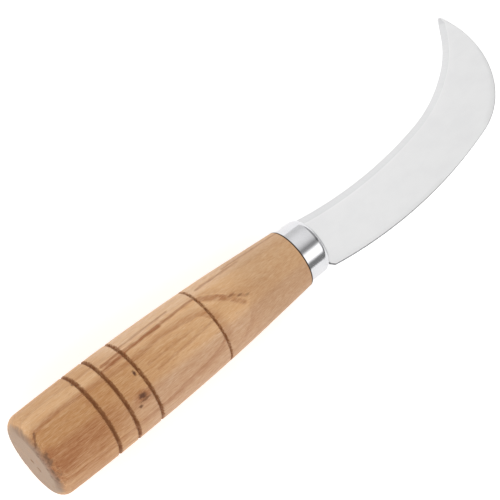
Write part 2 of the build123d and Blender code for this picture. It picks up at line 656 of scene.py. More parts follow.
    def streak_mask(self, mix: TurnedRecipe, streak: Streak) -> Socket:
        """Where a streak shows, from the distance to its line.

        Args:
            mix: the material being mixed.
            streak: its two ends and its width.

        Returns:
            The streak's strength.
        """
        arc = math.radians(self.mean_radius)
        run = (streak.end[0] - streak.start[0], (streak.end[1] - streak.start[1]) * arc)
        square = run[0] ** 2 + run[1] ** 2
        x = mix.minus(mix.station, streak.start[0])
        y = mix.times(mix.minus(mix.angle, streak.start[1]), arc)
        share = mix.scaled(x, run[0] / square, mix.times(y, run[1] / square))
        share = mix.math("MINIMUM", mix.math("MAXIMUM", share, 0.0), 1.0)
        off_x = mix.minus(x, mix.times(share, run[0]))
        off_y = mix.minus(y, mix.times(share, run[1]))
        away = self.ragged(mix, mix.length(off_x, off_y), self.streak_edge)
        outside, inside = (share * streak.half_width for share in self.streak_shares)
        return mix.times(mix.step(away, outside + self.streak_fade, inside), streak.strength)

    def knot_mask(self, mix: TurnedRecipe, knot: Knot) -> Socket:
        """Where a knot shows.

        Args:
            mix: the material being mixed.
            knot: its place and size.

        Returns:
            The knot's strength.
        """
        along = mix.math("DIVIDE", mix.minus(mix.station, knot.station), knot.half_length)
        arc = math.radians(self.mean_radius) / knot.half_width
        around = mix.times(mix.minus(mix.angle, knot.angle), arc)
        edge = self.ragged(mix, mix.length(along, around), self.knot_edge)
        return mix.times(mix.step(edge, *self.knot_steps), knot.strength)

    def dress_end(self, mix: TurnedRecipe, colour: Socket) -> Socket:
        """The butt's end grain, the soft bruise round it and the torn grain on its upper side.

        Args:
            mix: the material being mixed.
            colour: the wood so far.

        Returns:
            The colour with the end dressed.
        """
        rim = mix.step(mix.reach, *self.rim_reach)
        wave = mix.scaled(mix.noise(self.end_wave), self.end_wave_height, self.end_wave_offset)
        past = mix.minus(mix.station, wave)
        pits = mix.step(mix.noise(self.end_pits), *self.end_pit_steps)
        end = mix.blend(mix.times(pits, self.end_pit_strength), self.end_grain, self.pitted)
        colour = mix.blend(mix.step(past, *self.end_depth), colour, end)
        broken = mix.noise(self.end_break)
        bruise = mix.times(
            mix.window(past, self.bruise_depth),
            mix.window(mix.angle, self.bruise_angles),
            mix.times(broken, rim),
        )
        colour = mix.blend(bruise, colour, self.bruised)
        tears = mix.times(
            mix.window(mix.station, self.tear_depth),
            mix.window(mix.angle, self.tear_angles),
            mix.times(mix.step(broken, *self.tear_steps), rim),
            self.tear_strength,
        )
        colour = mix.blend(tears, colour, self.frayed)
        return mix.blend(self.streak_mask(mix, self.torn_corner), colour, self.torn)

    def burn_and_shade(self, mix: TurnedRecipe) -> Socket:
        """Burn in the grooves, lighter where the wood is hard, and painted shade in the gap at the
        ferrule and in the butt's slits.

        Args:
            mix: the material being mixed.

        Returns:
            The strength of the burn and of the painted shade.
        """
        stored = mix.attribute("scorch")
        width = self.burn_edge_width
        edge = mix.scaled(mix.noise(self.burn_edge), width, -width / 2)
        depth = mix.scaled(mix.noise(self.burn_depth), *self.burn_depth_range)
        burnt = mix.step(mix.plus(stored, edge), *self.burn_steps)
        burn = mix.times(burnt, mix.math("MINIMUM", depth, self.burn_most))
        # burn from the grooves; where the scorch passes 1, painted shade
        return mix.math("MAXIMUM", burn, mix.step(stored, *self.shade_steps))


@dataclass(frozen=True)
class GroundSteel(Finish):
    """Rolled stainless sheet with a satin face and a fine grind along its edge."""

    name = "ground_steel"
    steel: Colour = (0.985, 0.985, 0.985)
    dull: Colour = (0.925, 0.925, 0.93)
    filed: Colour = (0.79, 0.79, 0.795)
    scratched: Colour = (0.70, 0.705, 0.71)
    # painted shade on the blade's back edge and heel face
    sheared: Colour = (0.10, 0.10, 0.105)
    cloud: Grain = Grain((0.09, 0.14, 0.14), 4.0, 0.6)
    cloud_steps: Point = (0.35, 0.7)
    grain: Grain = Grain((1.6, 1.6, 1.6), 3.0, 0.6)
    scratches: Grain = Grain((7.0, 0.25, 1.0))
    scratch_steps: Point = (0.45, 0.7)
    dull_share: float = 0.5
    scratch_share: float = 0.4
    edge_share: float = 0.9
    fine_share: float = 0.4
    roughness: float = 0.38
    cloud_roughness: float = 0.1
    grain_roughness: float = 0.04
    relief: Relief = Relief(0.012, 0.5)

    def mix(self, mix: Recipe) -> None:
        """Lay out the steel's nodes."""
        cloud, grain = mix.noise(self.cloud), mix.noise(self.grain)
        grind_map = mix.add("ShaderNodeUVMap", uv_map="grind")
        brushed = mix.noise(self.scratches, grind_map.outputs["UV"])
        ground = mix.attribute("ground")

        dulled = mix.scaled(grain, self.fine_share, mix.step(cloud, *self.cloud_steps))
        colour = mix.blend(mix.times(dulled, self.dull_share), self.steel, self.dull)
        cut = mix.times(ground, mix.step(brushed, *self.scratch_steps))
        colour = mix.blend(mix.times(ground, self.edge_share), colour, self.filed)
        colour = mix.blend(mix.times(cut, self.scratch_share), colour, self.scratched)
        # painted shade on the back edge and the heel face
        back = mix.times(mix.attribute("sheared"), self.edge_share)
        colour = mix.blend(back, colour, self.sheared)
        rough = mix.scaled(cloud, self.cloud_roughness, self.roughness)
        mix.paint(colour, mix.scaled(grain, self.grain_roughness, rough), 1.0)
        height = mix.scaled(ground, brushed, mix.times(grain, self.fine_share))
        mix.bump(height, self.relief)


@dataclass(frozen=True)
class PolishedCap(Finish):
    """Bright drawn sheet with faint lines from the polishing lathe."""

    name = "polished_cap"
    metal: Colour = (0.64, 0.64, 0.655)
    worn: Colour = (0.57, 0.57, 0.585)
    smear: Grain = Grain((0.25, 0.2, 0.2), 3.0, 0.6)
    smear_steps: Point = (0.4, 0.8)
    worn_share: float = 0.5
    roughness: float = 0.10
    smear_roughness: float = 0.10
    lathe_lines: Grain = Grain((6.0, 0.12, 0.12), 3.0, 0.6)
    relief: Relief = Relief(0.004, 0.35)

    def mix(self, mix: Recipe) -> None:
        """Lay out the polished metal's nodes."""
        smear = mix.noise(self.smear)
        worn = mix.times(mix.step(smear, *self.smear_steps), self.worn_share)
        colour = mix.blend(worn, self.metal, self.worn)
        mix.paint(colour, mix.scaled(smear, self.smear_roughness, self.roughness), 1.0)
        mix.bump(mix.noise(self.lathe_lines), self.relief)


@dataclass(frozen=True)
class CuredResin(Finish):
    """Amber adhesive, a little cloudy, with trapped bubbles."""

    name = "cured_resin"
    amber: Colour = (0.45, 0.30, 0.12)
    cloudy: Colour = (0.58, 0.46, 0.27)
    bubble: Colour = (0.75, 0.66, 0.48)
    haze: Grain = Grain((0.2, 0.4, 0.4), 4.0, 0.6)
    bubble_scale: Triple = (1.4, 1.4, 1.4)
    bubble_steps: Point = (0.22, 0.08)
    bubble_share: float = 0.5
    roughness: float = 0.14
    haze_roughness: float = 0.2
    relief: Relief = Relief(0.06, 0.6)

    def mix(self, mix: Recipe) -> None:
        """Lay out the resin's nodes."""
        haze = mix.noise(self.haze)
        bubbles = mix.add("ShaderNodeTexVoronoi")
        mix.feed(bubbles.inputs["Vector"], mix.stretched(self.bubble_scale, mix.place))
        bubbles.inputs["Scale"].default_value = 1.0
        spots = mix.step(bubbles.outputs["Distance"], *self.bubble_steps)
        colour = mix.blend(haze, self.amber, self.cloudy)
        colour = mix.blend(mix.times(spots, self.bubble_share), colour, self.bubble)
        mix.paint(colour, mix.scaled(haze, self.haze_roughness, self.roughness))
        mix.bump(spots, self.relief)


@dataclass(frozen=True)
class BenchPaper(Finish):
    """White backdrop paper, lit from below a little so that shadows stay faint."""

    name = "bench_paper"
    white: Colour = (0.93, 0.93, 0.93)
    shaded: Colour = (0.90, 0.90, 0.91)
    tooth: Grain = Grain((0.8, 0.8, 0.8))
    tooth_share: float = 0.1
    roughness: float = 0.9
    glow: float = 0.40

    def mix(self, mix: Recipe) -> None:
        """Lay out the paper's nodes."""
        tooth = mix.times(mix.noise(self.tooth), self.tooth_share)
        mix.paint(mix.blend(tooth, self.white, self.shaded), self.roughness)
        mix.shader.inputs["Emission Color"].default_value = (1.0, 1.0, 1.0, 1.0)
        mix.shader.inputs["Emission Strength"].default_value = self.glow


# ---------------------------------------------------------------- turning on the lathe


@dataclass(frozen=True)
class ProfilePoint:
    """One point of a half section, with how the cutter left it; a scorch above 1 stands for painted
    shade.
    """

    station: float
    radius: float
    tear: float = 0.0
    scorch: float = 0.0


class LatheTree(NodeWork):
    """Geometry Nodes tree that turns a half section round X into a closed solid."""

    def __init__(self) -> None:
        """Lay out the tree and its inputs."""
        super().__init__(bpy.data.node_groups.new("turn_on_lathe", "GeometryNodeTree"))
        face = self.tree.interface
        for name, kind in (
            ("Half Section", "Geometry"),
            ("Segments", "Int"),
            ("Tear Scale", "Float"),
            ("Seed", "Float"),
            ("Finish", "Material"),
        ):
            face.new_socket(name, in_out="INPUT", socket_type="NodeSocket" + kind)
        face.new_socket("Solid", in_out="OUTPUT", socket_type="NodeSocketGeometry")
        self.entry = self.add("NodeGroupInput")
        self.lay_out()

    def node(self, kind: str, **inputs: Amount) -> bpy.types.Node:
        """A node with its named inputs linked or set."""
        return self.fill(self.add(kind), **inputs)

    def sampled(self, kind: str, value: Socket, row: Socket) -> Socket:
        """A value of the half section at a row of the solid.

        Args:
            kind: the value's data type.
            value: the field to read.
            row: index of the section's point.

        Returns:
            The value.
        """
        node = self.add("GeometryNodeSampleIndex", data_type=kind)
        section = self.entry.outputs["Half Section"]
        return self.fill(node, Geometry=section, Value=value, Index=row).outputs["Value"]

    def stored(self, name: str) -> Socket:
        """A named number on the half section."""
        node = self.add("GeometryNodeInputNamedAttribute", data_type="FLOAT")
        return self.fill(node, Name=name).outputs["Attribute"]

    def lay_out(self) -> None:
        """Build the nodes: a grid of section points by segments, wrapped round the axis."""
        section, segments = self.entry.outputs["Half Section"], self.entry.outputs["Segments"]
        count = self.node("GeometryNodeAttributeDomainSize", Geometry=section)
        around = self.plus(segments, 1.0)
        grid = self.node(
            "GeometryNodeMeshGrid", Vertices_X=count.outputs["Point Count"], Vertices_Y=around
        )
        index = self.add("GeometryNodeInputIndex").outputs["Index"]
        row = self.math("FLOOR", self.math("DIVIDE", self.plus(index, 0.5), around))
        column = self.minus(index, self.times(row, around))
        turn = self.times(self.math("DIVIDE", column, segments), math.tau)
        position = self.add("GeometryNodeInputPosition").outputs[0]
        place = self.sampled("FLOAT_VECTOR", position, row)
        split = self.node("ShaderNodeSeparateXYZ", Vector=place)
        station, radius = split.outputs[0], split.outputs[1]
        tear = self.sampled("FLOAT", self.stored("tear"), row)
        scorch = self.sampled("FLOAT", self.stored("scorch"), row)

        sine, cosine = self.math("SINE", turn), self.math("COSINE", turn)
        rough = self.fill(
            self.add("ShaderNodeTexNoise", noise_dimensions="4D"),
            Vector=self.wrapped(station, radius, sine, cosine),
            W=self.entry.outputs["Seed"],
            Scale=self.entry.outputs["Tear Scale"],
            Detail=TEAR_DETAIL,
        )
        lift = self.times(self.minus(rough.outputs["Fac"], 0.5), tear)
        solid = self.node(
            "GeometryNodeSetPosition",
            Geometry=grid.outputs["Mesh"],
            Position=self.wrapped(station, self.plus(radius, lift), sine, cosine),
        )
        # the scorch carries the grooves' burn and the painted shade
        kept = self.add("GeometryNodeStoreNamedAttribute", data_type="FLOAT", domain="POINT")
        self.fill(kept, Name="scorch", Geometry=solid.outputs["Geometry"], Value=scorch)
        closed = self.node(
            "GeometryNodeMergeByDistance", Geometry=kept.outputs["Geometry"], Distance=SEAM_GAP
        )
        real = self.node("GeometryNodeRealizeInstances", Geometry=closed.outputs["Geometry"])
        finish = self.node(
            "GeometryNodeSetMaterial",
            Geometry=real.outputs["Geometry"],
            Material=self.entry.outputs["Finish"],
        )
        leave = self.add("NodeGroupOutput")
        self.feed(leave.inputs["Solid"], finish.outputs["Geometry"])

    def wrapped(self, station: Socket, radius: Socket, sine: Socket, cosine: Socket) -> Socket:
        """A point at a station and radius, turned about X from the Z side."""
        return self.node(
            "ShaderNodeCombineXYZ",
            X=station,
            Y=self.times(radius, sine),
            Z=self.times(radius, cosine),
        ).outputs[0]

    def turned(
        self,
        name: str,
        section: list[ProfilePoint],
        segments: int,
        tear_scale: float,
        finish: bpy.types.Material,
    ) -> bpy.types.Object:
        """Turn a half section and keep the result as a plain mesh, in millimetres.

        Args:
            name: the object's name.
            section: its points, from the axis round to the axis.
            segments: faces round the axis.
            tear_scale: size of the cutter's tearing, in features per millimetre.
            finish: its material.

        Returns:
            The object.
        """
        mesh = bpy.data.meshes.new(name)
        steps = [(i, i + 1) for i in range(len(section) - 1)]
        mesh.from_pydata([(p.station, p.radius, 0.0) for p in section], steps, [])
        for field in ("tear", "scorch"):
            layer = mesh.attributes.new(field, "FLOAT", "POINT")
            layer.data.foreach_set("value", [getattr(p, field) for p in section])
        piece = placed(name, mesh)
        modifier = piece.modifiers.new("lathe", "NODES")
        modifier.node_group = self.tree
        values = {
            "Segments": segments,
            "Tear Scale": tear_scale,
            "Seed": TEAR_SEED,
            "Finish": finish,
        }
        for item in self.tree.interface.items_tree:
            if item.in_out == "INPUT" and item.name in values:
                modifier[item.identifier] = values[item.name]
        bake_modifiers(piece)
        piece.data.name = name
        return piece


def placed(name: str, mesh: bpy.types.Mesh) -> bpy.types.Object:
    """A new object in the scene with a given mesh."""
    piece = bpy.data.objects.new(name, mesh)
    bpy.context.scene.collection.objects.link(piece)
    return piece


def bake_modifiers(piece: bpy.types.Object) -> None:
    """Make the result of a piece's modifiers its plain mesh."""
    evaluated = piece.evaluated_get(bpy.context.evaluated_depsgraph_get())
    mesh = bpy.data.meshes.new_from_object(evaluated)
    piece.modifiers.clear()
    piece.data = mesh


def arc_points(centre: Point, radius: float, start: float, end: float, count: int) -> list[Point]:
    """Points along an arc.

    Args:
        centre: its centre.
        radius: its radius.
        start: first angle in degrees.
        end: last angle in degrees.
        count: number of points.

    Returns:
        The points, ends included.
    """
    angles = [math.radians(start + (end - start) * i / (count - 1)) for i in range(count)]
    return [(centre[0] + radius * math.cos(a), centre[1] + radius * math.sin(a)) for a in angles]


def line_points(start: Point, end: Point, spacing: float) -> list[Point]:
    """Points along a straight line, its first left out.

    Args:
        start: where it starts.
        end: where it ends.
        spacing: the longest step.

    Returns:
        The points.
    """
    length = math.dist(start, end)
    steps = max(1, math.ceil(length / spacing))
    return [
        (start[0] + (end[0] - start[0]) * i / steps, start[1] + (end[1] - start[1]) * i / steps)
        for i in range(1, steps + 1)
    ]


def settle(piece: bpy.types.Object, axes: KnifeAxes, sharp: float) -> None:
    """Point the faces outwards, shade them and lay the mesh where the knife lies.

    Args:
        piece: the piece, drawn in millimetres.
        axes: where the knife lies.
        sharp: edges that turn by more than this many degrees stay crisp.
    """
    build = bmesh.new()
    build.from_mesh(piece.data)
    bmesh.ops.recalc_face_normals(build, faces=build.faces)
    for face in build.faces:
        face.smooth = True
    for edge in build.edges:
        edge.smooth = edge.calc_face_angle(0.0) < math.radians(sharp)
    build.to_mesh(piece.data)
    build.free()
    piece.data.transform(axes.matrix())
    piece.data.update()


def hand_over(piece: bpy.types.Object, node: str) -> None:
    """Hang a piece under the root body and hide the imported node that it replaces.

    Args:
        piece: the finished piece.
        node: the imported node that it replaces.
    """
    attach(piece, "root")
    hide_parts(node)
    log.info("%s: %d faces", piece.name, len(piece.data.polygons))


# ---------------------------------------------------------------- the handle


@dataclass(frozen=True)
class Groove:
    """A turned V groove, rough at its lips and burnt by friction.

    Reach, lip, lip_width and burn_width are shares of half the groove's width.
    """

    station: float
    width: float
    depth: float
    burn: float
    reach: float = 2.0
    curve: float = 1.15
    lip: float = 0.75
    lip_width: float = 0.85
    lip_tear: float = 0.75
    burn_width: float = 1.8
    burn_gain: float = 1.5


@dataclass(frozen=True)
class Handle:
    """The turned handle, with the nose and the bore that the ferrule hides."""

    length: float = 118.2
    nose_end: float = 127.6
    swell_station: float = 22.0
    swell_radius: float = 16.45
    barrel_arc: float = 1000.0
    bend_station: float = 84.0
    bend_arc: float = 380.0
    neck_taper: float = 4.8
    butt_round: float = 4.6
    shoulder_round: float = 0.3
    # width of painted shade on the wood before the shoulder, at the gap under the ferrule
    painted_shade: float = 0.3
    nose_radius: float = 10.15
    nose_chamfer: float = 2.2
    bore_radius: float = 4.0
    bore_start: float = 51.4
    grooves: tuple[Groove, ...] = (
        Groove(25.0, 1.5, 1.0, 1.0),
        Groove(33.6, 1.5, 1.0, 0.98),
        Groove(44.0, 1.5, 1.0, 0.87),
        Groove(76.6, 1.2, 0.8, 0.76),
    )
    slit_offsets: tuple[float, ...] = (0.0, -3.6)
    slit_half_length: float = 0.5
    slit_half_width: float = 0.55
    slit_depth: float = 0.6
    slit_reach: float = 2.0
    slit_falloff: float = 1.2
    # scorch level of the painted shade at a slit's middle
    slit_shade: float = 2.1
    chip_scale: float = 0.4
    chip_fractal: tuple[float, float, int] = (0.8, 2.0, 4)
    chip_floor: float = 0.25
    chip_depth: float = 0.3
    chip_reach: Point = (7.2, 4.0)
    turned_tear: float = 0.10
    rim_tear: float = 0.16
    tear_scale: float = 1.3
    # scorch level that paints shade in the gap at the ferrule
    shade_level: float = 1.7
    fine_face: float = 5.0
    middle_step: float = 0.14
    face_step: float = 0.4
    coarse_step: float = 0.95
    fine_step: float = 0.12
    fine_reach: float = 1.7
    fine_end: float = 2.0
    look_ahead: float = 0.5
    rim_points: int = 22
    shoulder_points: int = 5
    segments: int = 192
    sharp: float = 40.0

    def side_radius(self, station: float) -> float:
        """Radius of the barrel: a long arc, a tighter bend and a straight taper.

        Args:
            station: distance from the butt.

        Returns:
            The radius.
        """
        reach = min(station, self.bend_station) - self.swell_station
        radius = self.swell_radius - self.barrel_arc + math.sqrt(self.barrel_arc**2 - reach**2)
        if station <= self.bend_station:
            return radius
        fall = math.asin(reach / self.barrel_arc)
        taper = math.radians(self.neck_taper)
        bend_length = self.bend_arc * (math.sin(taper) - math.sin(fall))
        past = min(station - self.bend_station, bend_length)
        sine = math.sin(fall) + past / self.bend_arc
        radius -= self.bend_arc * (math.cos(fall) - math.sqrt(1.0 - sine**2))
        return radius - max(0.0, station - self.bend_station - bend_length) * math.tan(taper)

    def cut(self, station: float) -> ProfilePoint:
        """The side at a station, with any groove cut into it.

        Args:
            station: distance from the butt.

        Returns:
            The point of the half section.
        """
        radius = self.side_radius(station)
        tear, scorch = self.turned_tear, 0.0
        for groove in self.grooves:
            offset = abs(station - groove.station) / (groove.width / 2)
            if offset < groove.reach:
                radius -= groove.depth * max(0.0, 1.0 - offset**groove.curve)
                lip = max(0.0, 1.0 - abs(offset - groove.lip) / groove.lip_width)
                tear = self.turned_tear + groove.lip_tear * lip
                burn = groove.burn_gain * max(0.0, 1.0 - offset / groove.burn_width)
                scorch = groove.burn * min(1.0, burn)
        # painted shade in the gap between the wood and the ferrule
        if station > self.length - self.shoulder_round - self.painted_shade:
            scorch = self.shade_level
        return ProfilePoint(station, radius, tear, scorch)

    def stations(self) -> list[float]:
        """Stations of the side, close together in the grooves."""
        start, end = self.butt_round, self.length - self.shoulder_round
        stations = [start]
        while stations[-1] < end:
            ahead = stations[-1] + self.look_ahead
            near = any(abs(ahead - groove.station) < self.fine_reach for groove in self.grooves)
            near = near or stations[-1] > end - self.fine_end
            stations.append(stations[-1] + (self.fine_step if near else self.coarse_step))
        stations[-1] = end
        return stations

    def half_section(self) -> list[ProfilePoint]:
        """The whole half section, from the butt's middle to the bore's end."""
        rim = self.side_radius(self.butt_round)
        face = rim - self.butt_round
        middle = line_points((0.0, 0.0), (0.0, self.fine_face), self.middle_step)
        outer = line_points((0.0, self.fine_face), (0.0, face), self.face_step)
        points = [ProfilePoint(x, r) for x, r in [(0.0, 0.0)] + middle + outer]
        corner = arc_points((self.butt_round, face), self.butt_round, 180.0, 90.0, self.rim_points)
        points += [ProfilePoint(x, r, self.rim_tear) for x, r in corner[1:-1]]
        points += [self.cut(station) for station in self.stations()]
        shoulder = points[-1].radius - self.shoulder_round
        centre = (self.length - self.shoulder_round, shoulder)
        turn = arc_points(centre, self.shoulder_round, 90.0, 0.0, self.shoulder_points)
        # the shoulder's turn carries the painted shade of the gap too
        points += [ProfilePoint(x, r, 0.0, self.shade_level) for x, r in turn[1:]]
        nose = self.nose_end - self.nose_chamfer
        inside = [
            (self.length, self.nose_radius),
            (nose, self.nose_radius),
            (self.nose_end, self.nose_radius - self.nose_chamfer),
            (self.nose_end, self.bore_radius),
            (self.bore_start, self.bore_radius),
            (self.bore_start, 0.0),
        ]
        return points + [ProfilePoint(x, r) for x, r in inside]

    def mark_butt(self, piece: bpy.types.Object) -> None:
        """Press the lathe centre's slits into the butt, paint shade into them and tear its rim, in
        millimetres.

        Args:
            piece: the turned handle.
        """
        scorch = piece.data.attributes["scorch"].data
        for vertex in piece.data.vertices:
            place = vertex.co
            if place.x > self.butt_round:
                continue
            for offset in self.slit_offsets:
                along = max(0.0, abs(place.y - offset) - self.slit_half_length)
                away = math.hypot(along, place.z) / self.slit_half_width
                if away < self.slit_reach:
                    press = math.exp(-(away**2) * self.slit_falloff)
                    place.x += self.slit_depth * press
                    # painted shade in the slit, stored as a scorch above 1
                    shade_level = scorch[vertex.index]
                    shade_level.value = max(shade_level.value, self.slit_shade * press)
            reach = math.hypot(place.y, place.z)
            chip = noise.fractal(place * self.chip_scale, *self.chip_fractal) - self.chip_floor
            if reach > self.swell_radius - 2.0 * self.butt_round and chip > 0.0:
                start, fade = self.chip_reach
                place.x += self.chip_depth * chip * min(1.0, (reach - start) / fade)

    def build(self, lathe: LatheTree, axes: KnifeAxes, finish: TurnedWood) -> bpy.types.Object:
        """Turn the handle and dress it.

        Args:
            lathe: the turning tree.
            axes: where the knife lies.
            finish: the wood.

        Returns:
            The handle.
        """
        piece = lathe.turned(
            Shown.HANDLE.value,
            self.half_section(),
            self.segments,
            self.tear_scale,
            finish.material(axes),
        )
        self.mark_butt(piece)
        settle(piece, axes, self.sharp)
        hand_over(piece, "handle")
        return piece


# ---------------------------------------------------------------- the ferrule


@dataclass(frozen=True)
class Ferrule:
    """A cap drawn from sheet, open at the wood and slotted for the tang."""

    start: float = 118.2
    front: float = 128.4
    radius: float = 11.0
    wall: float = 0.8
    front_round: float = 2.8
    rim_round: float = 0.3
    slot_width: float = 7.4
    slot_height: float = 1.7
    tear: float = 0.012
    tear_scale: float = 0.35
    front_step: float = 1.0
    side_step: float = 0.8
    rim_step: float = 0.3
    inner_step: float = 2.0
    front_points: int = 18
    rim_points: int = 6
    inner_points: int = 10
    segments: int = 160
    sharp: float = 45.0

    def half_section(self) -> list[ProfilePoint]:
        """The half section: out along the front, back along the side and in again."""
        corner = (self.front - self.front_round, self.radius - self.front_round)
        inner_front = self.front - self.wall
        inner_radius = self.radius - self.wall
        inner_round = self.front_round - self.wall
        points = [(self.front, 0.0)]
        points += line_points((self.front, 0.0), (self.front, corner[1]), self.front_step)
        points += arc_points(corner, self.front_round, 0.0, 90.0, self.front_points)[1:]
        rim = (self.start + self.rim_round, self.radius - self.rim_round)
        points += line_points((corner[0], self.radius), (rim[0], self.radius), self.side_step)
        points += arc_points(rim, self.rim_round, 90.0, 180.0, self.rim_points)[1:]
        points += line_points((self.start, rim[1]), (self.start, inner_radius), self.rim_step)
        inside = (corner[0], inner_radius)
        points += line_points((self.start, inner_radius), inside, self.inner_step)
        points += arc_points(corner, inner_round, 90.0, 0.0, self.inner_points)[1:]
        points += line_points((inner_front, corner[1]), (inner_front, 0.0), self.inner_step)
        section = [ProfilePoint(x, r, self.tear) for x, r in points[:-1]]
        return section + [ProfilePoint(inner_front, 0.0)]

    def slot_punch(self) -> bpy.types.Object:
        """The block that cuts the tang's slot, in millimetres."""
        build = bmesh.new()
        bmesh.ops.create_cube(build, size=1.0)
        size = (4.0 * self.wall, self.slot_width, self.slot_height)
        bmesh.ops.scale(build, vec=size, verts=build.verts)
        bmesh.ops.translate(build, vec=(self.front - self.wall / 2, 0.0, 0.0), verts=build.verts)
        mesh = bpy.data.meshes.new("slot_punch")
        build.to_mesh(mesh)
        build.free()
        return placed("slot_punch", mesh)

    def build(self, lathe: LatheTree, axes: KnifeAxes, finish: PolishedCap) -> bpy.types.Object:
        """Draw the cap, punch its slot and dress it.

        Args:
            lathe: the turning tree.
            axes: where the knife lies.
            finish: the polished metal.

        Returns:
            The ferrule.
        """
        piece = lathe.turned(
            Shown.FERRULE.value,
            self.half_section(),
            self.segments,
            self.tear_scale,
            finish.material(axes),
        )
        outward(piece.data)
        combine(piece, self.slot_punch(), "DIFFERENCE")
        settle(piece, axes, self.sharp)
        hand_over(piece, "ferrule")
        return piece


def outward(mesh: bpy.types.Mesh) -> None:
    """Point a closed mesh's faces outwards."""
    build = bmesh.new()
    build.from_mesh(mesh)
    bmesh.ops.recalc_face_normals(build, faces=build.faces)
    build.to_mesh(mesh)
    build.free()


def combine(piece: bpy.types.Object, tool: bpy.types.Object, operation: str) -> None:
    """Cut or join a second solid into a piece and remove the second one.

    Args:
        piece: the solid that is kept.
        tool: the solid that is used up.
        operation: DIFFERENCE or UNION.
    """
    modifier = piece.modifiers.new("combine", "BOOLEAN")
    modifier.operation = operation
    modifier.solver = "EXACT"
    modifier.object = tool
    bake_modifiers(piece)
    bpy.data.objects.remove(tool)


# ---------------------------------------------------------------- the blade


@dataclass(frozen=True)
class Arc:
    """One arc of an edge: its radius and how far it turns, in degrees."""

    radius: float
    turn: float


class EdgeCurve:
    """An edge of the blade: tangent arcs from the heel and a last one that ends on the tip."""

    def __init__(self, start: Point, heading: float, arcs: tuple[Arc, ...], tip: Point) -> None:
        """Walk the arcs.

        Args:
            start: where the edge starts.
            heading: its first direction in degrees.
            arcs: the arcs, turning to the left.
            tip: where the last arc ends.
        """
        self.points = [start]
        place, angle = Vector(start), math.radians(heading)
        for arc in arcs:
            place, angle = self.walk(place, angle, arc.radius, math.radians(arc.turn))
        reach = Vector(tip) - place
        chord_turn = math.atan2(reach.y, reach.x) - angle
        self.walk(place, angle, reach.length / (2.0 * math.sin(chord_turn)), 2.0 * chord_turn)

    def walk(self, place: Vector, angle: float, radius: float, turn: float) -> tuple[Vector, float]:
        """Add the points of one arc.

        Args:
            place: where it starts.
            angle: its direction there, in radians.
            radius: its radius.
            turn: how far it turns, in radians.

        Returns:
            Where it ends and its direction there.
        """
        centre = place + radius * Vector((-math.sin(angle), math.cos(angle)))
        steps = max(LEAST_STEPS, math.ceil(abs(turn * radius) / EDGE_STEP))
        for i in range(1, steps + 1):
            now = angle + turn * i / steps
            self.points.append(tuple(centre + radius * Vector((math.sin(now), -math.cos(now)))))
        return Vector(self.points[-1]), angle + turn

    def spaced(self, lead: list[Point], count: int) -> list[Vector]:
        """Points at equal steps along the edge.

        Args:
            lead: points that come before the edge's own.
            count: how many points.

        Returns:
            The points, ends included.
        """
        points = [Vector(p) for p in lead + self.points]
        lengths = [0.0]
        for before, after in zip(points, points[1:]):
            lengths.append(lengths[-1] + (after - before).length)
        spaced, at = [], 0
        for i in range(count):
            goal = lengths[-1] * i / (count - 1)
            while at < len(points) - 2 and lengths[at + 1] < goal:
                at += 1
            share = (goal - lengths[at]) / (lengths[at + 1] - lengths[at])
            spaced.append(points[at].lerp(points[at + 1], min(1.0, share)))
        return spaced


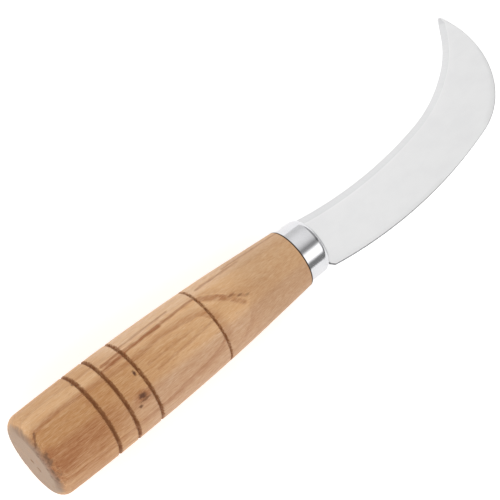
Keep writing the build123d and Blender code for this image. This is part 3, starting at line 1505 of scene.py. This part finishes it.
@dataclass(frozen=True)
class Blade:
    """The hooked blade, ground on both sides of its inner edge, with its tang."""

    heel: float = 128.4
    thickness: float = 1.5
    edge_land: float = 0.3
    bevel_width: float = 2.6
    bevel_shares: tuple[float, ...] = (0.3, 0.6, 0.93)
    bevel_foot: float = 1.05
    bevel_foot_dip: float = 0.004
    flat_start: float = 1.15
    bevel_most: float = 0.62
    back_round: float = 0.22
    back_round_most: float = 0.2
    back_points: int = 5
    # share of the back's rounding from which the painted shade starts
    sheared_share: float = 0.9
    heel_chamfer: float = 1.6
    tip: Point = (229.1, 38.6)
    edge_start: float = 10.0
    edge_heading: float = -9.5
    edge_arcs: tuple[Arc, ...] = (Arc(174.6, 20.3), Arc(61.6, 26.8), Arc(35.9, 20.4))
    back_start: float = -11.7
    back_heading: float = -9.0
    back_arcs: tuple[Arc, ...] = (Arc(190.0, 24.8), Arc(30.1, 70.6))
    tip_width: float = 0.9
    tip_notch: float = 0.35
    notch_half: float = 0.28
    notch_way: Point = (0.55, -0.84)
    tang_length: float = 74.0
    tang_width: float = 7.0
    tang_thickness: float = 1.3
    tang_taper: float = 6.0
    tang_end_width: float = 3.0
    tang_overlap: float = 0.8
    stations: int = 300
    columns: int = 10
    sharp: float = 12.0

    def chords(self) -> list[tuple[Vector, Vector]]:
        """Pairs of points, on the inner edge and on the back, from the heel to the blunt tip."""
        inner = EdgeCurve((self.heel, self.edge_start), self.edge_heading, self.edge_arcs, self.tip)
        corner = (self.heel + self.heel_chamfer, self.back_start)
        back = EdgeCurve(corner, self.back_heading, self.back_arcs, self.tip)
        heel_corner = (self.heel, self.back_start + self.heel_chamfer)
        pairs = zip(inner.spaced([], self.stations), back.spaced([heel_corner], self.stations))
        return [pair for pair in pairs if (pair[1] - pair[0]).length >= self.tip_width]

    def across(self, width: float, bevel: float) -> list[tuple[float, float, float]]:
        """Distance, height and grind of each point of one side, from the edge to the back.

        Args:
            width: the blade's width there.
            bevel: the bevel's width there.

        Returns:
            The points.
        """
        full, land = self.thickness / 2, self.edge_land / 2
        rise = (full - land) * bevel / self.bevel_width
        round_off = min(self.back_round, self.back_round_most * width)
        points = [
            (bevel * share, full - rise * (1.0 - share), 1.0) for share in (0.0, *self.bevel_shares)
        ]
        points += [(bevel * self.bevel_foot, full - self.bevel_foot_dip, 0.0)]
        start, end = bevel * self.flat_start, width - round_off
        points += [
            (start + (end - start) * i / self.columns, full, 0.0)
            for i in range(self.columns + 1)
        ]
        centre = (width - round_off, full - round_off)
        back = arc_points(centre, round_off, 90.0, 0.0, self.back_points)
        return points + [(x, z, 0.0) for x, z in back[1:]]

    def plate(self, finish: bpy.types.Material) -> bpy.types.Object:
        """Loft the ground plate between its two edges, in millimetres.

        Args:
            finish: the steel.

        Returns:
            The plate, closed at the heel and at the blunt tip.
        """
        build = bmesh.new()
        uv = build.loops.layers.uv.new("grind")
        ground = build.verts.layers.float.new("ground")
        sheared = build.verts.layers.float.new("sheared")
        chords = self.chords()
        rings, flat = [], {}
        along = 0.0
        for number, (inner, back) in enumerate(chords):
            width = (back - inner).length
            direction = (back - inner) / width
            bevel = min(self.bevel_width, self.bevel_most * width)
            back_start = width - self.sheared_share * self.back_round
            if number:
                along += (inner - chords[number - 1][0]).length
            side = self.across(width, bevel)
            ring = []
            for sign, points in ((1, side), (-1, side[::-1])):
                for distance, height, grind in points:
                    pulled = self.notch(number, len(chords), distance / width)
                    place = inner + direction * distance + pulled
                    vertex = build.verts.new((place.x, place.y, sign * height))
                    vertex[ground] = grind
                    # the back edge and the heel's face get painted shade
                    vertex[sheared] = float(distance > back_start or not number)
                    flat[vertex] = (along, distance)
                    ring.append(vertex)
            rings.append(ring)
        for before, after in zip(rings, rings[1:]):
            for i in range(len(before)):
                j = (i + 1) % len(before)
                build.faces.new((before[i], before[j], after[j], after[i]))
        self.close_end(build, rings[0])
        self.close_end(build, rings[-1])
        for face in build.faces:
            for loop in face.loops:
                loop[uv].uv = flat[loop.vert]
        bmesh.ops.recalc_face_normals(build, faces=build.faces)
        mesh = bpy.data.meshes.new(Shown.BLADE.value)
        build.to_mesh(mesh)
        build.free()
        mesh.materials.append(finish)
        return placed(Shown.BLADE.value, mesh)

    def notch(self, number: int, count: int, share: float) -> Vector:
        """How far the last section's middle is pulled back, which leaves the tip two-pointed.

        Args:
            number: the section's number.
            count: how many sections there are.
            share: distance across the section, from 0 to 1.

        Returns:
            The shift.
        """
        if number < count - 1:
            return Vector((0.0, 0.0))
        depth = self.tip_notch * max(0.0, 1.0 - abs(share - 0.5) / self.notch_half)
        return Vector(self.notch_way) * depth

    def close_end(self, build: bmesh.types.BMesh, ring: list[bmesh.types.BMVert]) -> None:
        """Close an end with a strip of faces from its upper side to its lower one.

        Args:
            build: the mesh being built.
            ring: the end's section.
        """
        count = len(ring)
        for i in range(count // 2 - 1):
            build.faces.new((ring[i], ring[i + 1], ring[count - 2 - i], ring[count - 1 - i]))

    def tang(self) -> bpy.types.Object:
        """The tang, in millimetres, reaching a little into the heel."""
        end = self.heel - self.tang_length
        outline = [
            (self.heel + self.tang_overlap, self.tang_width / 2),
            (end + self.tang_taper, self.tang_width / 2),
            (end, self.tang_end_width / 2),
        ]
        outline += [(x, -y) for x, y in outline[::-1]]
        half = self.tang_thickness / 2
        count = len(outline)
        vertices = [(x, y, z) for z in (half, -half) for x, y in outline]
        faces = [tuple(range(count)), tuple(range(2 * count - 1, count - 1, -1))]
        for i in range(count):
            j = (i + 1) % count
            faces.append((j, i, count + i, count + j))
        mesh = bpy.data.meshes.new("tang")
        mesh.from_pydata(vertices, [], faces)
        outward(mesh)
        return placed("tang", mesh)

    def build(self, axes: KnifeAxes, finish: GroundSteel) -> bpy.types.Object:
        """Grind the blade, join its tang and dress it.

        Args:
            axes: where the knife lies.
            finish: the steel.

        Returns:
            The blade.
        """
        piece = self.plate(finish.material(axes))
        combine(piece, self.tang(), "UNION")
        settle(piece, axes, self.sharp)
        hand_over(piece, "blade")
        return piece


# ---------------------------------------------------------------- the bench and the light


@dataclass(frozen=True)
class Strip:
    """A band of the light tent: the angle about the knife where it starts, and its brightness."""

    angle: float
    brightness: float


@dataclass(frozen=True)
class Studio:
    """A white bench in a light tent, and the camera above it."""

    bench_size: float = 30.0
    strips: tuple[Strip, ...] = (
        Strip(-180.0, 0.9),
        Strip(-96.0, 0.9),
        Strip(-86.0, 0.25),
        Strip(-66.0, 0.25),
        Strip(-56.0, 1.65),
        Strip(-27.0, 1.65),
        Strip(-18.0, 0.40),
        Strip(-7.0, 0.28),
        Strip(2.0, 0.62),
        Strip(14.0, 0.90),
        Strip(32.0, 1.04),
        Strip(50.0, 1.0),
        Strip(72.0, 0.80),
        Strip(120.0, 0.80),
        Strip(180.0, 0.9),
    )
    strength: float = 1.07
    end_wall: Point = (0.66, 0.82)
    end_wall_brightness: float = 0.40
    aim: Colour = (108.676, 11.648, 0.0)
    azimuth: float = -67.40
    elevation: float = 67.60
    roll: float = 28.07
    distance: float = 643.13
    lens: float = 129.6
    sensor: float = 36.0
    nearest: float = 0.01

    def bench(self, axes: KnifeAxes, finish: BenchPaper) -> bpy.types.Object:
        """The paper that the knife lies on.

        Args:
            axes: where the knife lies.
            finish: the paper.

        Returns:
            The bench.
        """
        half = self.bench_size / 2
        low = cad_box[0].z
        corners = [(-half, -half, low), (half, -half, low), (half, half, low), (-half, half, low)]
        mesh = bpy.data.meshes.new("bench")
        mesh.from_pydata(corners, [], [(0, 1, 2, 3)])
        mesh.materials.append(finish.material(axes))
        bench = placed("bench", mesh)
        return bench

    def tent(self) -> None:
        """Hang light strips that run along the knife, as a ramp round its axis."""
        world = bpy.data.worlds.new("light_tent")
        world.use_nodes = True
        work = NodeWork(world.node_tree)
        generated = work.add("ShaderNodeTexCoord").outputs["Generated"]
        along, across, up = work.fill(work.add("ShaderNodeSeparateXYZ"), Vector=generated).outputs
        angle = work.math("ARCTAN2", across, up)
        ramp = work.add("ShaderNodeValToRGB")
        work.feed(ramp.inputs["Fac"], work.scaled(angle, 1.0 / math.tau, 0.5))
        brightest = max(strip.brightness for strip in self.strips)
        stops = ramp.color_ramp.elements
        for number, strip in enumerate(self.strips):
            place = strip.angle / 360.0 + 0.5
            stop = stops[number] if number < len(stops) else stops.new(place)
            stop.position = place
            stop.color = (*(strip.brightness / brightest,) * 3, 1.0)
        dimmed = work.add("ShaderNodeVectorMath", operation="SCALE")
        wall = work.step(along, *self.end_wall, 1.0, self.end_wall_brightness)
        work.fill(dimmed, Vector=ramp.outputs["Color"], Scale=wall)
        light = work.add("ShaderNodeBackground")
        work.fill(light, Color=dimmed.outputs[0], Strength=brightest * self.strength)
        work.fill(work.add("ShaderNodeOutputWorld"), Surface=light.outputs[0])
        bpy.context.scene.world = world

    def camera(self, axes: KnifeAxes) -> None:
        """Stand the camera over the knife.

        Args:
            axes: where the knife lies.
        """
        around, above, lean = (math.radians(a) for a in (self.azimuth, self.elevation, self.roll))
        out = math.cos(above)
        back = Vector((math.sin(around) * out, -math.cos(around) * out, math.sin(above)))
        level = Vector((math.cos(around), math.sin(around), 0.0))
        right = Matrix.Rotation(lean, 3, back) @ level
        turn = axes.turn() @ Matrix((right, back.cross(right), back)).transposed()
        data = bpy.data.cameras.new("camera")
        data.lens = self.lens
        data.sensor_width = self.sensor
        data.clip_start = self.nearest
        camera = bpy.data.objects.new("camera", data)
        place = axes.point(*(Vector(self.aim) + back * self.distance))
        camera.matrix_world = Matrix.Translation(place) @ turn.to_4x4()
        bpy.context.scene.collection.objects.link(camera)
        bpy.context.scene.camera = camera

    def set_up(self, axes: KnifeAxes) -> None:
        """Lay the bench, hang the tent and place the camera.

        Args:
            axes: where the knife lies.
        """
        self.bench(axes, BenchPaper())
        self.tent()
        self.camera(axes)
        bpy.context.scene.view_settings.view_transform = "Standard"


def dress_resin(axes: KnifeAxes, finish: CuredResin) -> None:
    """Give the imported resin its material.

    Args:
        axes: where the knife lies.
        finish: the resin.
    """
    node = frame["nodes"]["tang_resin"]
    material = finish.material(axes)
    for slot in node.material_slots:
        slot.material = material
    log.info("tang_resin: dressed in %s", material.name)


def main() -> None:
    """Build the knife, piece by piece, and its studio."""
    logging.basicConfig(level=logging.INFO)
    axes = KnifeAxes.from_record(frame["record"])
    lathe = LatheTree()
    Handle().build(lathe, axes, TurnedWood())
    Ferrule().build(lathe, axes, PolishedCap())
    Blade().build(axes, GroundSteel())
    dress_resin(axes, CuredResin())
    Studio().set_up(axes)


if __name__ == "__main__":
    main()
